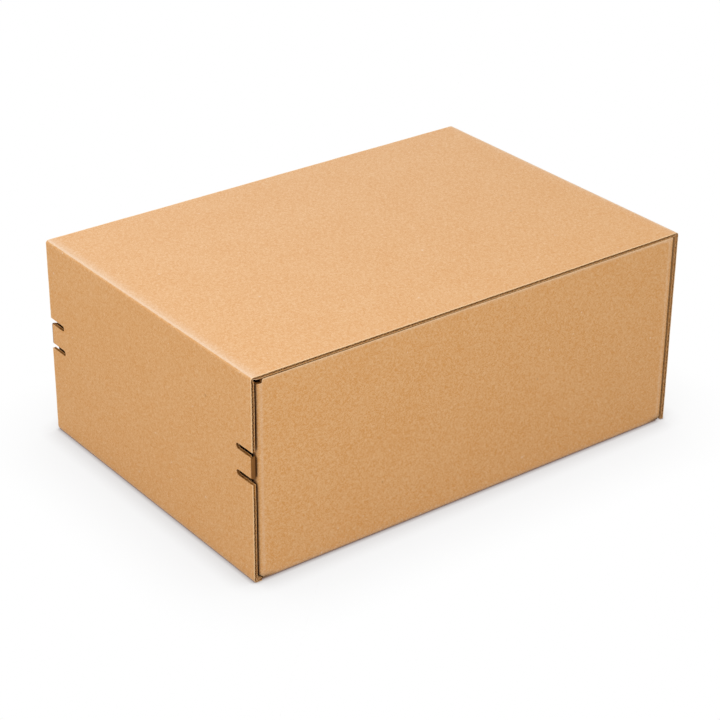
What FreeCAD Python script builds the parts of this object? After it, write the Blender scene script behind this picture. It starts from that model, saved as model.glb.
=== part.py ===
"""Closed cardboard box, folded from one die-cut sheet of fine-flute corrugated board.

Frame: origin at the middle of the footprint, on the floor. X runs along the long side, with the
end that carries the visible slots at -X. The long face that is folded up from the bottom is at -Y.
Z is up. Lengths are in millimetres.

The sheet wraps round the pack as a sleeve (bottom, left end, top, right end) whose raw edges face
front and back. The long faces rise from the bottom inside that sleeve, turn in at their corners as
dust flaps, and are held at the left end by hooked tabs that are cut into its panel.
"""
import FreeCAD, Part
import math
import os

V = FreeCAD.Vector

# Outside of the closed box
length = 250.0
width = 172.0
height = 103.0

# The board
board = 1.6                # whole thickness
liner = 0.25               # each facing sheet
medium = 0.2               # fluted sheet between the facings, at a crest
bond = 0.35                # width of a glued crest
flute_pitch = 3.0          # crest to crest
crease_inner = 0.5         # inside radius of every fold
layer_gap = 0.4            # air left between two layers that lie on each other
end_gap = 0.9              # air between an end panel and the dust flaps inside it
rim_round = 1.1            # softened lower corner of the right end's raw edge

# Slots and hooked tabs in the left end panel
tab_height = 10.4          # board left between the two slots of a pair
slot_height = 2.9
slot_depth = 11.0          # from the raw edge to the round end
front_pair_height = 58.5   # middle of the pair above the floor
back_pair_height = 53.6
hook_turn = 135.0          # degrees that the end of a tab is turned in
hook_length = 3.0          # straight end of a tab, past its bend
slit_clearance = 0.35      # air round a tab in the slit that takes it
plain_margin = 1.0         # board without open flutes above and below the slots

# Dust flaps, glue flap and corner reliefs
dust_length = 55.0
dust_taper = 3.0
dust_corner = 5.0
glue_height = 25.0
glue_inset = 1.5           # glue flap set back from the fold of the long faces
mitre_gap = 1.5            # between the slanted edges of glue flap and dust flap
relief = 0.5               # slot between the bottom's corner and the folded-up face

# Values that follow from those above
fold = board + crease_inner                      # outside radius of every fold
inner_reach = length / 2 - board - end_gap       # outer face of the dust flaps
glue_face = length / 2 - board - layer_gap       # outer face of the glue flap
face_reach = inner_reach - fold                  # half the flat length of a long face
depth_reach = width / 2 - fold                   # half the flat depth of the bottom
face_top = height - board - layer_gap            # raw upper edge of the long faces


def line(a, b):
    """Straight edge between two points."""
    return Part.LineSegment(V(*a), V(*b)).toShape()


def bend(a, through, b):
    """Arc edge from a to b by way of a third point."""
    return Part.Arc(V(*a), V(*through), V(*b)).toShape()


def ring_mid(centre, radius, degrees):
    """Point on a circle in the plane of a section, given as (u, v)."""
    turn = math.radians(degrees)
    return (centre[0] + radius * math.cos(turn), centre[1] + radius * math.sin(turn))


def strip_outline(points, place):
    """Closed wire from a list of ('line', p) and ('arc', mid, p) steps, placed in space by place."""
    edges = []
    at = points[0]
    for step in points[1:]:
        if step[0] == "line":
            edges.append(line(place(at), place(step[1])))
            at = step[1]
        else:
            edges.append(bend(place(at), place(step[1]), place(step[2])))
            at = step[2]
    if at != points[0]:
        edges.append(line(place(at), place(points[0])))
    return Part.Wire(edges)


def in_xz(y):
    """Places section points (x, z) on the plane at a given y."""
    return lambda p: (p[0], y, p[1])


def in_yz(x):
    """Places section points (y, z) on the plane at a given x."""
    return lambda p: (x, p[0], p[1])


def in_xy(z):
    """Places section points (x, y) on the plane at a given z."""
    return lambda p: (p[0], p[1], z)


def sleeve_outline():
    """Section of the sleeve: right end, top, left end and the start of the bottom."""
    far, near = length / 2, -length / 2
    inside = fold - board
    right_top, left_top = (far - fold, height - fold), (near + fold, height - fold)
    left_low = (near + fold, fold)
    stop = -face_reach - relief
    return [
        (far, rim_round),
        ("line", (far, height - fold)),
        ("arc", ring_mid(right_top, fold, 45), (far - fold, height)),
        ("line", (near + fold, height)),
        ("arc", ring_mid(left_top, fold, 135), (near, height - fold)),
        ("line", (near, fold)),
        ("arc", ring_mid(left_low, fold, 225), (near + fold, 0)),
        ("line", (stop, 0)),
        ("line", (stop, board)),
        ("line", (near + fold, board)),
        ("arc", ring_mid(left_low, inside, 225), (near + board, fold)),
        ("line", (near + board, height - fold)),
        ("arc", ring_mid(left_top, inside, 135), (near + fold, height - board)),
        ("line", (far - fold, height - board)),
        ("arc", ring_mid(right_top, inside, 45), (far - board, height - fold)),
        ("line", (far - board, 0)),
        ("line", (far - rim_round, 0)),
        ("arc", ring_mid((far - rim_round, rim_round), rim_round, 315), (far, rim_round)),
    ]


def flute_channels(start, end, across):
    """Open channels of a run of corrugated board, as triangles (u, v) along the run.

    u runs along the board and v is the depth below its outer face. across turns (u, v) into a
    point of the section.
    """
    count = int((end - start) / flute_pitch)
    if count < 1:
        return []
    spare = (end - start) - count * flute_pitch
    first = start + spare / 2
    top, low = liner, board - liner
    half = (flute_pitch - bond) / 2
    channels = []
    for i in range(count):
        mid = first + (i + 0.5) * flute_pitch
        channels.append([across(mid - half, top), across(mid + half, top), across(mid, low - medium)])
        if i + 1 < count:
            mid += flute_pitch / 2
            channels.append([across(mid - half, low), across(mid, top + medium), across(mid + half, low)])
    return channels


def left_panel_runs():
    """Heights between which the left end panel shows open flutes: below and above its slots."""
    reach = tab_height / 2 + slot_height + plain_margin
    below = min(front_pair_height, back_pair_height) - reach
    above = max(front_pair_height, back_pair_height) + reach
    return [(fold, below), (above, height - fold)]


def sleeve_channels():
    """All the open flutes of the sleeve: top panel and both end panels."""
    far = length / 2
    channels = flute_channels(-far + fold, far - fold, lambda u, v: (u, height - v))
    for start, end in left_panel_runs():
        channels += flute_channels(start, end, lambda u, v: (-far + v, u))
    channels += flute_channels(rim_round, height - fold, lambda u, v: (far - v, u))
    return channels


def hole_turned(a, b, c):
    """The corners of a triangular hole, ordered against the turn of the outline round it."""
    turn = (b[0] - a[0]) * (c[1] - a[1]) - (b[1] - a[1]) * (c[0] - a[0])
    return [a, b, c, a] if turn < 0 else [a, c, b, a]


def corrugated_sleeve():
    """The sleeve with its open flutes, as one extrusion from front to back."""
    place = in_xz(-width / 2)
    wires = [strip_outline(sleeve_outline(), place)]
    for triangle in sleeve_channels():
        wires.append(Part.makePolygon([V(*place(p)) for p in hole_turned(*triangle)]))
    return Part.Face(wires).extrude(V(0, width, 0))


def corners():
    """The four upright corners: side (-1 left, 1 right) and end (-1 front, 1 back)."""
    return [(side, end) for side in (-1, 1) for end in (-1, 1)]


def tab_corners():
    """The two corners that carry a pair of slots: side, end and height of the pair."""
    return [(-1, -1, front_pair_height), (-1, 1, back_pair_height)]


def slot_cutter(side, end, middle):
    """One slot through an end panel, open at the raw edge and round at its inner end."""
    x = side * length / 2 - (board if side > 0 else 0) - 1
    lip = end * (width / 2 + 1)
    round_at = end * (width / 2 - slot_depth + slot_height / 2)
    low, high = middle - slot_height / 2, middle + slot_height / 2
    tip = (end * (width / 2 - slot_depth), middle)
    steps = [(lip, low), ("line", (round_at, low)), ("arc", tip, (round_at, high)), ("line", (lip, high))]
    return Part.Face(strip_outline(steps, in_yz(x))).extrude(V(board + 2, 0, 0))


def tab_end_cutter(side, end, middle):
    """The end of a tab where it leaves the plane of its panel for the bend."""
    x = side * length / 2 - (board if side > 0 else 0) - 1
    y = end * (width / 2 + 1) if end < 0 else width / 2 - fold
    low = middle - tab_height / 2 - slot_height / 2
    return Part.makeBox(board + 2, fold + 1, tab_height + slot_height, V(x, y, low))


def sleeve_cuts():
    """Every slot and bent tab end, as one cutter."""
    cutters = []
    for side, end, middle in tab_corners():
        step = (tab_height + slot_height) / 2
        cutters.append(slot_cutter(side, end, middle - step))
        cutters.append(slot_cutter(side, end, middle + step))
        cutters.append(tab_end_cutter(side, end, middle))
    return Part.makeCompound(cutters)


def hook_outline(side, end, clear=0.0):
    """Section of a hooked tab end, seen from above, with an optional clearance all round.

    The bend turns about the corner of the end panel, then runs on straight into the box.
    """
    centre = (-length / 2 + fold, -width / 2 + fold)
    outer, inner = fold + clear, fold - board - clear
    stop = 180.0 + hook_turn
    run = math.radians(stop + 90.0)
    reach = hook_length + clear
    ahead = (reach * math.cos(run), reach * math.sin(run))
    o_start, o_end = ring_mid(centre, outer, 180), ring_mid(centre, outer, stop)
    i_start, i_end = ring_mid(centre, inner, 180), ring_mid(centre, inner, stop)
    steps = [
        o_start,
        ("arc", ring_mid(centre, outer, 180 + hook_turn / 2), o_end),
        ("line", (o_end[0] + ahead[0], o_end[1] + ahead[1])),
        ("line", (i_end[0] + ahead[0], i_end[1] + ahead[1])),
        ("line", i_end),
        ("arc", ring_mid(centre, inner, 180 + hook_turn / 2), i_start),
    ]
    return lambda place: strip_outline(steps, lambda p: place((-side * p[0], -end * p[1])))


def hooked_tab(side, end, middle):
    """The turned-in end of one tab."""
    low = middle - tab_height / 2
    section = Part.Face(hook_outline(side, end)(in_xy(low)))
    return section.extrude(V(0, 0, tab_height))


def slit_cutter(side, end, middle):
    """The slit in the upright fold of a long face that takes one hooked tab."""
    low = middle - tab_height / 2 - slit_clearance
    section = Part.Face(hook_outline(side, end, slit_clearance)(in_xy(low)))
    return section.extrude(V(0, 0, tab_height + 2 * slit_clearance))


def tray():
    """Bottom panel with both long faces folded up from it."""
    front, inside = -width / 2, fold - board
    low_front, low_back = (front + fold, fold), (-front - fold, fold)
    steps = [
        (front, face_top),
        ("line", (front, fold)),
        ("arc", ring_mid(low_front, fold, 225), (front + fold, 0)),
        ("line", (-front - fold, 0)),
        ("arc", ring_mid(low_back, fold, 315), (-front, fold)),
        ("line", (-front, face_top)),
        ("line", (-front - board, face_top)),
        ("line", (-front - board, fold)),
        ("arc", ring_mid(low_back, inside, 315), (-front - fold, board)),
        ("line", (front + fold, board)),
        ("arc", ring_mid(low_front, inside, 225), (front + board, fold)),
        ("line", (front + board, face_top)),
    ]
    section = Part.Face(strip_outline(steps, in_yz(-face_reach)))
    return section.extrude(V(2 * face_reach, 0, 0))


def bottom_join():
    """The bottom panel between the sleeve's left fold and the tray."""
    start = -length / 2 + fold
    return Part.makeBox(-face_reach - start, 2 * depth_reach, board, V(start, -depth_reach, 0))


def upright_fold(side, end):
    """Rounded upright fold between a long face and its dust flap, mitred at its foot."""
    centre = (face_reach, depth_reach)
    inside = fold - board
    steps = [
        (face_reach, depth_reach + fold),
        ("arc", ring_mid(centre, fold, 45), (face_reach + fold, depth_reach)),
        ("line", (face_reach + inside, depth_reach)),
        ("arc", ring_mid(centre, inside, 45), (face_reach, depth_reach + inside)),
    ]
    wire = strip_outline(steps, lambda p: (side * p[0], end * p[1], fold))
    corner = Part.Face(wire).extrude(V(0, 0, face_top - fold))
    foot = Part.makePolygon([
        V(side * face_reach, -width, fold), V(side * (face_reach + fold), -width, fold),
        V(side * (face_reach + fold), -width, 2 * fold), V(side * face_reach, -width, fold)])
    return corner.cut(Part.Face(foot).extrude(V(0, 2 * width, 0)))


def dust_flap(side, end):
    """Dust flap inside an end panel. On the right it is mitred to clear the glue flap."""
    root, low, high = depth_reach, 2 * fold, face_top
    tip = root - dust_length
    foot = low + dust_taper
    slant = []
    if side > 0:
        foot = glue_height + mitre_gap
        slant = [("line", (root - (foot - low), foot))]
    head = high - dust_taper
    near = dust_corner * (1 - math.sqrt(0.5))
    steps = [
        (root, low), *slant,
        ("line", (tip + dust_corner, foot)),
        ("arc", (tip + near, foot + near), (tip, foot + dust_corner)),
        ("line", (tip, head - dust_corner)),
        ("arc", (tip + near, head - near), (tip + dust_corner, head)),
        ("line", (root, high)),
    ]
    x = inner_reach - board if side > 0 else -inner_reach
    wire = strip_outline(steps, lambda p: (x, end * p[0], p[1]))
    return Part.Face(wire).extrude(V(board, 0, 0))


def glue_flap():
    """Flap folded up from the bottom's right edge and glued inside the right end panel."""
    bend_x = glue_face - fold
    centre = (bend_x, fold)
    inside = fold - board
    half = depth_reach - glue_inset
    steps = [
        (face_reach, 0),
        ("line", (bend_x, 0)),
        ("arc", ring_mid(centre, fold, 315), (bend_x + fold, fold)),
        ("line", (bend_x + inside, fold)),
        ("arc", ring_mid(centre, inside, 315), (bend_x, board)),
        ("line", (face_reach, board)),
    ]
    crease = Part.Face(strip_outline(steps, in_xz(-half))).extrude(V(0, 2 * half, 0))
    rise = glue_height - fold
    plate = Part.makePolygon([
        V(glue_face - board, -half, fold), V(glue_face - board, half, fold),
        V(glue_face - board, half - rise - mitre_gap, glue_height),
        V(glue_face - board, -half + rise + mitre_gap, glue_height), V(glue_face - board, -half, fold)])
    return crease.fuse(Part.Face(plate).extrude(V(board, 0, 0)))


def inner_sheet():
    """Everything folded up from the bottom, with the slits for the hooked tabs."""
    pieces = [bottom_join(), glue_flap()]
    for side, end in corners():
        pieces += [upright_fold(side, end), dust_flap(side, end)]
    slits = [slit_cutter(*corner) for corner in tab_corners()]
    return tray().fuse(pieces).cut(Part.makeCompound(slits))


def folded_box():
    """The whole sheet, folded and closed, as one solid."""
    sleeve = corrugated_sleeve().cut(sleeve_cuts())
    hooks = [hooked_tab(*corner) for corner in tab_corners()]
    whole = sleeve.fuse([inner_sheet(), *hooks]).removeSplitter()
    return whole.Solids[0] if len(whole.Solids) == 1 else whole


def main():
    """Build the box and write it out."""
    os.makedirs("parts", exist_ok=True)
    box = folded_box()
    bounds = box.BoundBox
    print("solids", len(box.Solids), "valid", box.isValid(), "volume mm3", round(box.Volume, 1))
    print("bounds", [round(v, 3) for v in (bounds.XMin, bounds.YMin, bounds.ZMin, bounds.XMax, bounds.YMax, bounds.ZMax)])
    box.exportStep("parts/closed_box.step")


main()
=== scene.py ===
"""Closed cardboard box, folded from one sheet of fine-flute corrugated board.

The sheet is laid out flat, cut with its slots, tabs and flaps, and then folded up. It is built as the
real board is: an outer and an inner facing with a fluted paper between them. Sizes are in
millimetres until a point is placed, and every placed point is in metres.
"""
import logging
import math
import random
from bisect import bisect_right
from dataclasses import dataclass, field
from enum import Enum
from typing import Callable, ClassVar

import bmesh
import bpy
import numpy as np
from mathutils import Matrix, Vector
from mathutils.geometry import delaunay_2d_cdt


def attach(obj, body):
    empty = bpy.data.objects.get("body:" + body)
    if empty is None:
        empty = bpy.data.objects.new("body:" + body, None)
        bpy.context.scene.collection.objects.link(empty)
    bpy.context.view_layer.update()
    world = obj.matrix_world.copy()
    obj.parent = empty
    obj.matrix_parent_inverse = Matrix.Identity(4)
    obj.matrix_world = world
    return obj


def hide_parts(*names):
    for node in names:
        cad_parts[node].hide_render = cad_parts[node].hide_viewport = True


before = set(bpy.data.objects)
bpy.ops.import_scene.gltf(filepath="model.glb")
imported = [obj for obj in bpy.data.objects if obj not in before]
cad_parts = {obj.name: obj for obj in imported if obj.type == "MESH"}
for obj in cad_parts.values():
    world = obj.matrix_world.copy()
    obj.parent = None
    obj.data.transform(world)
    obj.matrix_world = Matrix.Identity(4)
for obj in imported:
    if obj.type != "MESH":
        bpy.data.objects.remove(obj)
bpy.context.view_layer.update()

MM = 0.001
CLOSE = 0.01
JOIN_POINTS = 29
LOG = logging.getLogger("cardboard_box")

Flat = tuple[float, float]
Colour = tuple[float, float, float, float]
Waves = tuple[tuple[float, float, float], ...]
Socket = bpy.types.NodeSocket
Placer = Callable[[float, float, float], Vector]
Share = Callable[[Flat], float]
WHITE: Colour = (1.0, 1.0, 1.0, 1.0)
SQUARE_TURN = math.pi / 2


class Side(Enum):
    """The two ends of the box, by the sign of X."""

    LEFT = -1
    RIGHT = 1


class End(Enum):
    """The two raw edges of the sleeve, by the sign of Y."""

    FRONT = -1
    BACK = 1


class Ply(Enum):
    """Layers of the board."""

    OUTER = "outer_facing"
    CORE = "core"
    INNER = "inner_facing"


@dataclass(frozen=True)
class BoxSizes:
    """Sizes of the closed box, in millimetres."""

    # Outside of the closed box
    length: float = 250.0
    width: float = 172.0
    height: float = 103.0
    # The board and its creases
    board: float = 1.6
    liner: float = 0.25
    medium: float = 0.2
    pitch: float = 3.0
    crease_inner: float = 0.5
    tight_fold: float = 1.35
    crease_squeeze: float = 0.6
    crease_margin: float = 1.5
    crushed_margin: float = 1.0
    # Air between layers that lie on each other
    layer_gap: float = 0.4
    rim_gap: float = 0.5
    rim_climb: float = 0.3
    end_gap: float = 0.9
    # Slots and hooked tabs of the left end
    tab_height: float = 10.4
    slot_height: float = 2.9
    slot_depth: float = 12.4
    front_pair: float = 58.5
    back_pair: float = 53.6
    tab_setback: float = 0.1
    tab_run_in: float = 2.0
    tab_crease: float = 0.9
    tab_turn: float = math.radians(135.0)
    tab_nip: float = 0.8
    hook_length: float = 4.0
    tab_squeeze: float = 0.5
    window_reach: float = 1.5
    window_rise: float = 2.0
    # Flaps folded from the long faces and the bottom
    dust_length: float = 55.0
    dust_taper: float = 3.0
    dust_corner: float = 5.0
    glue_height: float = 25.0
    glue_inset: float = 1.5
    mitre_gap: float = 1.5
    relief: float = 0.5
    nick: float = 1.9
    nick_foot: float = 0.9
    nick_head: float = 1.5
    head_slope: float = 1.0
    # How far the cores stay behind the cut edges of the facings
    core_recess: float = 0.12
    slot_recess: float = 0.08
    flute_recess: float = 0.15

    @property
    def fold(self) -> float:
        """Outside radius of every fold."""
        return self.board + self.crease_inner

    @property
    def arc(self) -> float:
        """Length of the outer facing over one square fold."""
        return self.fold * math.pi / 2

    @property
    def face_reach(self) -> float:
        """Half the flat length of a long face."""
        return self.length / 2 - self.board - self.end_gap - self.fold

    @property
    def glue_reach(self) -> float:
        """Distance from the middle at which the glue flap starts to turn up."""
        return self.length / 2 - self.board - self.layer_gap - self.fold

    @property
    def depth_reach(self) -> float:
        """Half the flat depth of the bottom."""
        return self.width / 2 - self.fold

    @property
    def face_top(self) -> float:
        """Height of the raw upper edge of the long faces."""
        return self.height - self.board - self.rim_gap

    @property
    def tab_start(self) -> float:
        """Distance from the middle of an end panel at which a tab starts to turn in."""
        return self.width / 2 - self.tab_crease - self.tab_setback

    def pair_middle(self, end: End) -> float:
        """Height of the middle of the slot pair at one raw edge."""
        return self.front_pair if end is End.FRONT else self.back_pair

    def plies(self) -> dict[Ply, tuple[float, float]]:
        """Depths below the outer face between which each layer lies."""
        inner = self.board - self.liner
        return {Ply.OUTER: (0.0, self.liner), Ply.CORE: (self.liner, inner), Ply.INNER: (inner, self.board)}


@dataclass(frozen=True)
class Run:
    """One straight or bent stretch of a folded section."""

    length: float
    turn: float = 0.0


class SectionPath:
    """Outer face of a folded section, walked with the inside of the box on the left hand."""

    def __init__(self, start: Flat, heading: float, runs: list[Run]) -> None:
        """Lay the runs end to end.

        Args:
            start: First point of the outer face.
            heading: Direction of the first run, in radians.
            runs: Stretches in order.
        """
        self.stations: list[float] = []
        self.places: list[tuple[Flat, float, Run]] = []
        at, travelled = start, 0.0
        for run in runs:
            self.stations.append(travelled)
            self.places.append((at, heading, run))
            at = self._along(at, heading, run, run.length, 0.0)
            heading += run.turn
            travelled += run.length
        self.length = travelled

    @staticmethod
    def _along(at: Flat, heading: float, run: Run, distance: float, depth: float) -> Flat:
        """Point at a distance along one run and a depth below the outer face."""
        left = (-math.sin(heading), math.cos(heading))
        if not run.turn:
            return (
                at[0] + math.cos(heading) * distance + left[0] * depth,
                at[1] + math.sin(heading) * distance + left[1] * depth,
            )
        radius = run.length / run.turn
        spoke = heading - math.pi / 2 + distance / radius
        return (
            at[0] + left[0] * radius + math.cos(spoke) * (radius - depth),
            at[1] + left[1] * radius + math.sin(spoke) * (radius - depth),
        )

    def point(self, distance: float, depth: float) -> Flat:
        """Place a flat distance on the section.

        Args:
            distance: Distance along the outer face.
            depth: Depth below the outer face.

        Returns:
            The point in the plane of the section.
        """
        index = min(max(bisect_right(self.stations, distance) - 1, 0), len(self.places) - 1)
        at, heading, run = self.places[index]
        return self._along(at, heading, run, distance - self.stations[index], depth)


def smooth(low: float, high: float, value: float) -> float:
    """Smooth step from 0 at low to 1 at high."""
    share = min(max((value - low) / (high - low), 0.0), 1.0)
    return share * share * (3 - 2 * share)


def ripple(at: float, waves: Waves) -> float:
    """Sum of slow waves, each given as wavelength, height and phase."""
    return sum(rise * (1 + math.sin(2 * math.pi * at / long + phase)) / 2 for long, rise, phase in waves)


@dataclass
class CutSheet:
    """A flat sheet, cut to its outline and divided into triangles."""

    outline: list[Flat]
    holes: list[list[Flat]] = field(default_factory=list)
    lines: list[list[Flat]] = field(default_factory=list)
    grid: float = 7.0
    rim_row: float = 0.7
    fixed_edge: float = math.inf
    ragged: float = 0.07
    lip_from: float = math.inf
    seed: int = 1
    ROW_ROOM: ClassVar[float] = 0.8
    MERGE: ClassVar[float] = 1e-4

    def __post_init__(self) -> None:
        """Divide the sheet as soon as its outline is known."""
        self.points: list[Flat] = []
        self.faces: list[tuple[int, ...]] = []
        self.rim: list[float] = []
        self._divide()

    @staticmethod
    def resampled(points: list[Flat], step: float, closed: bool = True) -> list[Flat]:
        """Add points to a line so that none are further apart than a step.

        Args:
            points: Corners of the line.
            step: Largest distance between two points.
            closed: Whether the last corner is joined to the first.

        Returns:
            The corners with the added points between them.
        """
        out: list[Flat] = []
        pairs = zip(points, points[1:] + points[:1]) if closed else zip(points, points[1:])
        for a, b in pairs:
            count = max(1, math.ceil(math.dist(a, b) / step))
            dx, dy = (b[0] - a[0]) / count, (b[1] - a[1]) / count
            out += [(a[0] + dx * i, a[1] + dy * i) for i in range(count)]
        return out if closed else out + [points[-1]]

    @staticmethod
    def inward(points: list[Flat], offsets: list[float]) -> list[Flat]:
        """Move each point of a closed line to its left hand side.

        Args:
            points: Corners of the line.
            offsets: Distance that each corner moves.

        Returns:
            The moved corners.
        """
        out = []
        for i, (x, y) in enumerate(points):
            before, after = points[i - 1], points[(i + 1) % len(points)]
            dx, dy = after[0] - before[0], after[1] - before[1]
            size = math.hypot(dx, dy) or 1.0
            out.append((x - dy / size * offsets[i], y + dx / size * offsets[i]))
        return out

    @staticmethod
    def clear_of(points: np.ndarray, loops: list[list[Flat]], margin: float) -> np.ndarray:
        """Which points lie inside the outline, outside its holes and clear of both.

        Args:
            points: Points to test, one row each.
            loops: The outline and then the holes.
            margin: Smallest distance kept from every cut edge.

        Returns:
            One truth value for each point.
        """
        inside = np.zeros(len(points), bool)
        near = np.full(len(points), math.inf)
        x, y = points[:, 0], points[:, 1]
        for loop in loops:
            for (ax, ay), (bx, by) in zip(loop, loop[1:] + loop[:1]):
                if ay != by:
                    crosses = (ay > y) != (by > y)
                    inside ^= crosses & (x < (bx - ax) * (y - ay) / (by - ay) + ax)
                square = (bx - ax) ** 2 + (by - ay) ** 2 or 1.0
                share = np.clip(((x - ax) * (bx - ax) + (y - ay) * (by - ay)) / square, 0, 1)
                near = np.minimum(near, np.hypot(x - ax - share * (bx - ax), y - ay - share * (by - ay)))
        return inside & (near > margin)

    def _divide(self) -> None:
        """Cut the outline a little ragged and triangulate what it encloses."""
        draw = random.Random(self.seed)
        edge = self.outline
        held = [abs(p[0] - self.fixed_edge) < CLOSE for p in edge]
        loose = [0.0 if fixed else draw.uniform(0.0, self.ragged) for fixed in held]
        edge = self.inward(edge, loose)
        loops = [edge, *self.holes]
        row = self.inward(edge, [self.rim_row] * len(edge))
        low, high = np.min(edge, axis=0), np.max(edge, axis=0)
        xs = np.arange(low[0] + self.grid / 2, high[0], self.grid)
        ys = np.arange(low[1] + self.grid / 2, high[1], self.grid)
        mesh = [(float(a), float(b)) for a in xs for b in ys]
        lines = [self.resampled(line, self.grid, closed=False) for line in self.lines]
        inner = np.array(row + mesh)
        kept = self.clear_of(inner, loops, self.rim_row * self.ROW_ROOM)
        coords: list[Flat] = [p for loop in loops for p in loop]
        edges: list[tuple[int, int]] = []
        start = 0
        for loop in loops:
            edges += [(start + i, start + (i + 1) % len(loop)) for i in range(len(loop))]
            start += len(loop)
        for line in lines:
            start = len(coords)
            coords += line
            edges += [(start + i, start + i + 1) for i in range(len(line) - 1)]
        coords += [tuple(p) for p, good in zip(inner.tolist(), kept) if good]
        made = delaunay_2d_cdt([Vector(p) for p in coords], edges, [list(range(len(edge)))], 1, self.MERGE)
        self.points = [(p.x, p.y) for p in made[0]]
        on_edge = [any(i < len(edge) for i in source) for source in made[3]]
        self.rim = [float(hit and abs(p[1]) >= self.lip_from) for hit, p in zip(on_edge, self.points)]
        middles = np.array([np.mean([self.points[i] for i in f], axis=0) for f in made[2]])
        good = self.clear_of(middles, loops, 0.0)
        self.faces = [tuple(f) for f, keep in zip(made[2], good) if keep]


class MeshParts:
    """Faces gathered for one piece, with their place on the flat sheet, their wear, and where highlight and
    shade are painted on them.
    """

    def __init__(self) -> None:
        """Start with nothing."""
        self.verts: list[Vector] = []
        self.flat: list[Flat] = []
        # Per point: the pale lip and the fold rubbing, both also painted highlight, the dark tab core, also
        # painted shade, and how strong the painted gap shade is
        self.rim: list[float] = []
        self.fold: list[float] = []
        self.raw: list[float] = []
        self.gap: list[float] = []
        self.faces: list[tuple[int, ...]] = []

    def add_plate(
        self,
        sheet: CutSheet,
        depths: tuple[float, float],
        place: Placer,
        to_flat: Callable[[Flat], Flat],
        rub_and_highlight: Share,
        raw: Share = lambda p: 0.0,
        gap: Share = lambda p: 0.0,
    ) -> None:
        """Fold one layer of a cut sheet and close it round its edges.

        Args:
            sheet: The sheet as cut.
            depths: Depths of its two faces below the outer face of the board.
            place: Folds a flat point at a depth.
            to_flat: Turns a point of this sheet into one of the whole flat sheet.
            rub_and_highlight: Share of fold wear and painted highlight at a flat point.
            raw: Share of dark raw core at a flat point, which on the tabs also paints the shade of their
                recess.
            gap: How strongly painted shade darkens a flat point where a wall stands close to it.
        """
        base, count = len(self.verts), len(sheet.points)
        for depth in depths:
            for point, rim in zip(sheet.points, sheet.rim):
                self.verts.append(place(point[0], point[1], depth))
                self.flat.append(to_flat(point))
                self.rim.append(rim)
                self.fold.append(rub_and_highlight(point))
                self.raw.append(raw(point))
                self.gap.append(gap(point))
        sides: dict[tuple[int, int], int] = {}
        for face in sheet.faces:
            self.faces.append(tuple(base + i for i in reversed(face)))
            self.faces.append(tuple(base + count + i for i in face))
            for a, b in zip(face, face[1:] + face[:1]):
                sides[(a, b)] = 1
        for a, b in sides:
            if (b, a) in sides:
                continue
            if all(abs(sheet.points[i][0] - sheet.fixed_edge) < CLOSE for i in (a, b)):
                continue
            self.faces.append((base + a, base + b, base + count + b, base + count + a))

    def add_mesh(self, mesh: bpy.types.Mesh, place: Placer, middle: float, level: float) -> None:
        """Fold a plain mesh that lies along the flat sheet.

        Args:
            mesh: Mesh with X along the sheet, Z across it and Y through the board, in millimetres.
            place: Folds a flat point at a depth.
            middle: Place of the mesh's own middle across the sheet.
            level: Depth of the mesh's own middle below the outer face.
        """
        base = len(self.verts)
        for vert in mesh.vertices:
            flat = (vert.co.x, vert.co.z + middle)
            self.verts.append(place(flat[0], flat[1], level + vert.co.y))
            self.flat.append(flat)
            self.rim.append(0.0)
            self.fold.append(0.0)
            self.raw.append(0.0)
            self.gap.append(0.0)
        self.faces += [tuple(base + i for i in polygon.vertices) for polygon in mesh.polygons]

    def finished(self, name: str, merge: float = 1e-6, crease: float = 40.0) -> bpy.types.Object:
        """Make the piece, with its flat map and its attributes of wear, painted highlight and painted
        shade.

        Args:
            name: Name of the piece.
            merge: Distance below which points are one, in metres.
            crease: Angle above which an edge is sharp, in degrees.

        Returns:
            The new object, at the origin.
        """
        mesh = bpy.data.meshes.new(name)
        mesh.from_pydata(self.verts, [], self.faces)
        # The masks hold wear together with painted highlight on folds and lips and painted shade on the
        # tabs and in gaps
        shares = {"rim": self.rim, "fold_rub_and_highlight": self.fold, "raw_core_and_tab_shade": self.raw, "gap_shade": self.gap}
        for label, values in shares.items():
            mesh.attributes.new(label, "FLOAT", "POINT").data.foreach_set("value", values)
        layer = mesh.uv_layers.new(name="flat_sheet")
        corners = [self.flat[loop.vertex_index] for loop in mesh.loops]
        layer.data.foreach_set("uv", [c * MM for corner in corners for c in corner])
        work = bmesh.new()
        work.from_mesh(mesh)
        bmesh.ops.remove_doubles(work, verts=work.verts, dist=merge)
        bmesh.ops.recalc_face_normals(work, faces=work.faces)
        work.to_mesh(mesh)
        work.free()
        mesh.shade_smooth()
        mesh.set_sharp_from_angle(angle=math.radians(crease))
        piece = bpy.data.objects.new(name, mesh)
        bpy.context.scene.collection.objects.link(piece)
        return piece


@dataclass(frozen=True)
class SleeveRubAndHighlight:
    """Where the folds of the sleeve are rubbed pale, which also paints the highlight that they catch.

    Rises are in millimetres before and after a fold's start, ends are shares of the fold's arc.
    """

    lower_share: float = 0.4
    lower_rise: Flat = (-1.5, 1.0)
    lower_end: Flat = (0.6, 1.0)
    left_soft: float = 0.45
    right_soft: float = 0.15
    soft_rise: Flat = (-6.0, 0.0)
    sharp_rise: Flat = (-1.2, 0.6)
    upper_end: Flat = (0.30, 0.52)


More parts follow.
